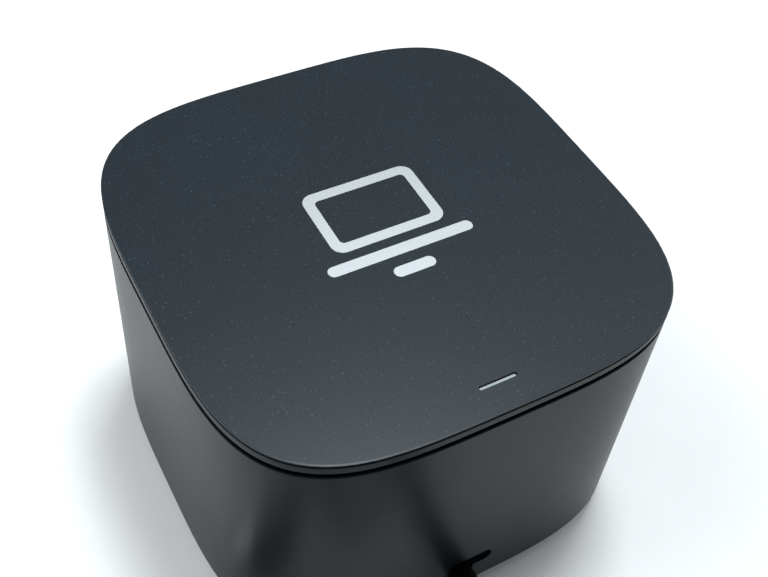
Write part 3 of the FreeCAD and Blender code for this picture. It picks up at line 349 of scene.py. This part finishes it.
def make_cord(with_pieces):
    """The cord from its outlet sleeve through the coil to the plug. The pieces passed in are not
    used.
    """
    route = [Vector(point) * MM for point in CORD_START] + coil_points()
    route += [Vector(point) * MM for point in CORD_TAIL]
    data = bpy.data.curves.new("host_cord", "CURVE")
    data.dimensions = "3D"
    data.bevel_depth = CORD_DIAMETER / 2
    data.bevel_resolution = 6
    data.resolution_u = 8
    data.use_fill_caps = True
    line = data.splines.new("NURBS")
    line.points.add(len(route) - 1)
    for point, place in zip(line.points, route):
        point.co = (*place, 1)
    line.order_u = 3
    line.use_endpoint_u = True
    cord = bpy.data.objects.new("host_cord", data)
    scene.collection.objects.link(cord)
    data.materials.append(PAINTS["cord_jacket"].material)
    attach(cord, "dock")
    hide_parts("host_cable", "host_cable_coil", "host_cable_tail")


dress_nodes()


# ---- Small pieces -----------------------------------------------------------------------------

def add_piece(name, mesh, slot, body, bevel=0.0):
    """Puts a finished mesh in the scene in its slot's material, riding on a body."""
    piece = bpy.data.objects.new(name, mesh)
    scene.collection.objects.link(piece)
    mesh.materials.append(PAINTS[slot].material)
    if bevel:
        rounding = piece.modifiers.new("rounding", "BEVEL")
        rounding.width = bevel
        rounding.segments = 3
        rounding.harden_normals = True
    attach(piece, body)
    return piece


def blocks(name, boxes, slot, body="dock", bevel=0.03 * MM):
    """Separate small blocks in one piece, each given by its lowest and highest corner."""
    form = bmesh.new()
    for low, high in boxes:
        low, high = Vector(low), Vector(high)
        middle, size = (low + high) / 2, high - low
        shape = Matrix.Translation(middle) @ Matrix.Diagonal((*size, 1))
        bmesh.ops.create_cube(form, size=1, matrix=shape)
    mesh = bpy.data.meshes.new(name)
    form.to_mesh(mesh)
    form.free()
    return add_piece(name, mesh, slot, body, bevel)


def spun(name, start, axis, profile, slot):
    """Closed piece of revolution along an axis: profile lists (distance from start, radius)."""
    sides = 40
    axis = Vector(axis).normalized()
    side = axis.orthogonal().normalized()
    other = axis.cross(side)
    form = bmesh.new()
    rings = []
    for along, radius in profile:
        ring = []
        for step in range(sides):
            angle = 2 * math.pi * step / sides
            offset = (side * math.cos(angle) + other * math.sin(angle)) * radius
            ring.append(form.verts.new(Vector(start) + axis * along + offset))
        rings.append(ring)
    for low, high in zip(rings, rings[1:]):
        for step in range(sides):
            after = (step + 1) % sides
            form.faces.new((low[step], low[after], high[after], high[step]))
    for face in form.faces:
        face.smooth = True
    for end in (rings[0], rings[-1]):
        form.faces.new(end)
    bmesh.ops.recalc_face_normals(form, faces=form.faces)
    mesh = bpy.data.meshes.new(name)
    form.to_mesh(mesh)
    form.free()
    return add_piece(name, mesh, slot, "dock")


def in_row(count, pitch, middle):
    """Places of so many things in a row, pitch apart and centred on the middle."""
    return [middle + (i - (count - 1) / 2) * pitch for i in range(count)]


def make_display_contacts():
    """Ten contacts above and ten below the tongue of each display socket."""
    half, length, thickness = 0.2 * MM, 6.5 * MM, 0.08 * MM
    for level in ("lower", "upper"):
        low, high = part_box(f"display_socket_{level}")
        front = high.y - 4.7 * MM
        rows = (low.z + 2.24 * MM, low.z + 3.68 * MM)
        boxes = [
            ((x - half, front - length, z), (x + half, front, z + thickness))
            for x in in_row(10, 1.0 * MM, (low.x + high.x) / 2) for z in rows
        ]
        blocks(f"display_contacts_{level}", boxes, "contact_metal", bevel=0)


def make_usb_contacts():
    """Four leaf contacts under each USB-A tongue, and a row on both sides of the USB-C tongue."""
    outer, inner = 1.1 * MM, 1.0 * MM
    leaves = ((-3.5 * MM, outer), (-1.0 * MM, inner), (1.0 * MM, inner), (3.5 * MM, outer))
    for place in ("front", "rear"):
        low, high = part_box(f"usb_a_socket_{place}")
        middle = (low.y + high.y) / 2
        back, front = high.x - 8.5 * MM, high.x - 1.6 * MM
        tongue = low.z + 4.0 * MM
        boxes = [
            ((back, middle + offset - width / 2, tongue - 0.12 * MM),
             (front, middle + offset + width / 2, tongue + 0.02 * MM))
            for offset, width in leaves
        ]
        blocks(f"usb_a_contacts_{place}", boxes, "contact_metal", bevel=0.04 * MM)
    low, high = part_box("usb_c_socket")
    half, thickness = 0.13 * MM, 0.05 * MM
    back, front = high.y - 5 * MM, high.y - 1.1 * MM
    rows = (high.z - 1.42 * MM, high.z - 2.14 * MM)
    boxes = [
        ((x - half, back, z), (x + half, front, z + thickness))
        for x in in_row(12, 0.5 * MM, (low.x + high.x) / 2) for z in rows
    ]
    blocks("usb_c_contacts", boxes, "contact_metal", bevel=0)


def make_network_liner():
    """Dark plastic walls inside the metal shield of the network jack."""
    low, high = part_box("network_jack")
    middle = (low.x + high.x) / 2
    half, skin = 5.9 * MM, 0.25 * MM
    floor, roof = low.z + 2.6 * MM, low.z + 10.6 * MM
    back, front = high.y - 13 * MM, high.y - 0.1 * MM
    notch = 3.1 * MM
    blocks("network_liner", [
        ((middle - half, back, floor), (middle - half + skin, front, roof)),
        ((middle + half - skin, back, floor), (middle + half, front, roof)),
        ((middle - half, back, roof - skin), (middle + half, front, roof)),
        ((middle - half, back, floor), (middle - notch, front, floor + skin)),
        ((middle + notch, back, floor), (middle + half, front, floor + skin)),
        ((middle - half, back, floor), (middle + half, back + skin, roof)),
    ], "insulator")


def make_power_mark():
    """Plain standby sign on the button: an open ring and a short bar."""
    low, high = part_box("power_button")
    centre = Vector((high.x, (low.y + high.y) / 2, (low.z + high.z) / 2))
    data = bpy.data.curves.new("power_mark", "CURVE")
    data.dimensions = "3D"
    data.bevel_depth = 0.13 * MM
    data.bevel_resolution = 3
    data.use_fill_caps = True
    ring = data.splines.new("POLY")
    radius, opening, steps = 1.2 * MM, math.radians(38), 28
    ring.points.add(steps)
    for i, point in enumerate(ring.points):
        angle = math.pi / 2 + opening + (2 * math.pi - 2 * opening) * i / steps
        point.co = (0, radius * math.cos(angle), radius * math.sin(angle), 1)
    bar = data.splines.new("POLY")
    bar.points.add(1)
    for point, height in zip(bar.points, (0.35 * MM, 1.35 * MM)):
        point.co = (0, 0, height, 1)
    sunk = 0.09 * MM
    mark = bpy.data.objects.new("power_mark", data)
    mark.location = centre - Vector((sunk, 0, 0))
    scene.collection.objects.link(mark)
    data.materials.append(PAINTS["emblem_metal"].material)
    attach(mark, "power_button")


def make_lid_ribs():
    """Moulded stiffening ribs under the lid."""
    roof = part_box("lid_frame")[1].z - 1.2 * MM
    bottom, top = roof - 0.8 * MM, roof + 0.1 * MM
    half, reach = 0.45 * MM, 33 * MM
    boxes = []
    for offset in (-20, -7, 7, 20):
        place = offset * MM
        boxes.append(((place - half, -reach, bottom), (place + half, reach, top)))
        boxes.append(((-reach, place - half, bottom), (reach, place + half, top)))
    blocks("lid_ribs", boxes, "base_plastic", "lid", 0.1 * MM)


def make_outlet_relief():
    """Rubber that fills the notch below the outlet slot, and a slim sleeve round the cord there.

    The slot stays open above it, as in the photograph."""
    low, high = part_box("cable_grommet")
    middle = (low.x + high.x) / 2
    notch_half, slot_floor = 3.1 * MM, 11.6 * MM
    collar_face, block_face = high.y - 1.6 * MM, high.y - 5.3 * MM
    block = blocks("outlet_block", [
        ((low.x, collar_face, low.z), (high.x, high.y, high.z)),
        ((middle - notch_half, block_face, low.z), (middle + notch_half, collar_face, slot_floor)),
    ], "plug_mould", bevel=0.12 * MM)
    start = Vector(CORD_START[0]) * MM
    length = collar_face - start.y
    profile = [(-0.5 * MM, 2.9 * MM), (length - 0.2 * MM, 2.8 * MM),
               (length, 2.74 * MM), (length, 2.6 * MM)]
    root = (start.x, collar_face, start.z)
    sleeve = spun("outlet_sleeve", root, (0, -1, 0), profile, "plug_mould")
    for piece in (block, sleeve):
        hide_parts("cable_grommet")
    return [block, sleeve]


def make_plug_details():
    """Ringed strain relief behind the host plug and shallow grip ridges on its upper face."""
    low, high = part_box("host_plug_body")
    middle = (low + high) / 2
    widest, groove, taper = 3.07 * MM, 0.14 * MM, 0.02 * MM
    ring_pitch, ring_width, slope = 1.5 * MM, 0.7 * MM, 0.1 * MM
    profile = [(-0.3 * MM, 3.0 * MM), (0, widest)]
    for ring in range(5):
        start = 0.6 * MM + ring_pitch * ring
        radius = widest - taper * ring
        valley = radius - groove
        profile += [(start, radius), (start + slope, valley),
                    (start + ring_width - slope, valley), (start + ring_width, radius)]
    profile.append((8.4 * MM, 2.76 * MM))
    relief = spun("plug_relief", (middle.x, low.y, middle.z), (0, -1, 0), profile, "plug_mould")
    first, pitch, width, half = 7 * MM, 1.6 * MM, 0.8 * MM, 3.2 * MM
    sunk, proud = 0.1 * MM, 0.16 * MM
    ridges = []
    for i in range(5):
        y = low.y + first + pitch * i
        ridges.append(((middle.x - half, y, high.z - sunk),
                       (middle.x + half, y + width, high.z + proud)))
    grip = blocks("plug_ridges", ridges, "plug_mould", bevel=0.06 * MM)
    return [relief, grip]


plug = [frame["nodes"]["host_plug_body"], frame["nodes"]["host_plug_shell"]]
make_cord(make_outlet_relief() + plug + make_plug_details())
make_display_contacts()
make_usb_contacts()
make_network_liner()
make_power_mark()
make_lid_ribs()


# ---- Studio -----------------------------------------------------------------------------------

FLOOR_REACH = 3
FLOOR_DROP = 0.0002         # how far the floor lies below the feet, so that no faces coincide


def area_light(name, place, target, size, power, color):
    """A soft square light that looks at its target."""
    data = bpy.data.lights.new(name, "AREA")
    data.shape = "RECTANGLE"
    data.size = data.size_y = size
    data.energy = power
    data.color = color
    light = bpy.data.objects.new(name, data)
    scene.collection.objects.link(light)
    light.location = place
    light.rotation_euler = (Vector(target) - Vector(place)).to_track_quat("-Z", "Y").to_euler()


def make_studio():
    """Pale floor, even pale surroundings and large soft lights."""
    mesh = bpy.data.meshes.new("floor")
    form = bmesh.new()
    bmesh.ops.create_grid(form, x_segments=1, y_segments=1, size=FLOOR_REACH)
    form.to_mesh(mesh)
    form.free()
    floor = bpy.data.objects.new("floor", mesh)
    floor.location.z = -FLOOR_DROP
    scene.collection.objects.link(floor)
    mesh.materials.append(moulded("floor", (0.86, 0.86, 0.86), 0.7, 4.0, 0.01, 0.01).material)
    world = bpy.data.worlds.new("studio")
    world.use_nodes = True
    world.node_tree.nodes["Background"].inputs["Color"].default_value = (0.93, 0.97, 1, 1)
    world.node_tree.nodes["Background"].inputs["Strength"].default_value = 0.4
    scene.world = world
    scene.view_settings.view_transform = "Standard"
    area_light("key", (0.17, 0.14, 1.0), (0, 0, 0.04), 0.22, 7.2, (0.91, 0.975, 1.0))
    area_light("fill", (-0.6, 0.3, 0.8), (0, 0, 0.04), 0.6, 5.2, (0.94, 0.98, 1.0))
    area_light("side", (0.8, 0.1, 0.5), (0, 0, 0), 0.5, 1.6, (0.94, 0.98, 1.0))


make_studio()
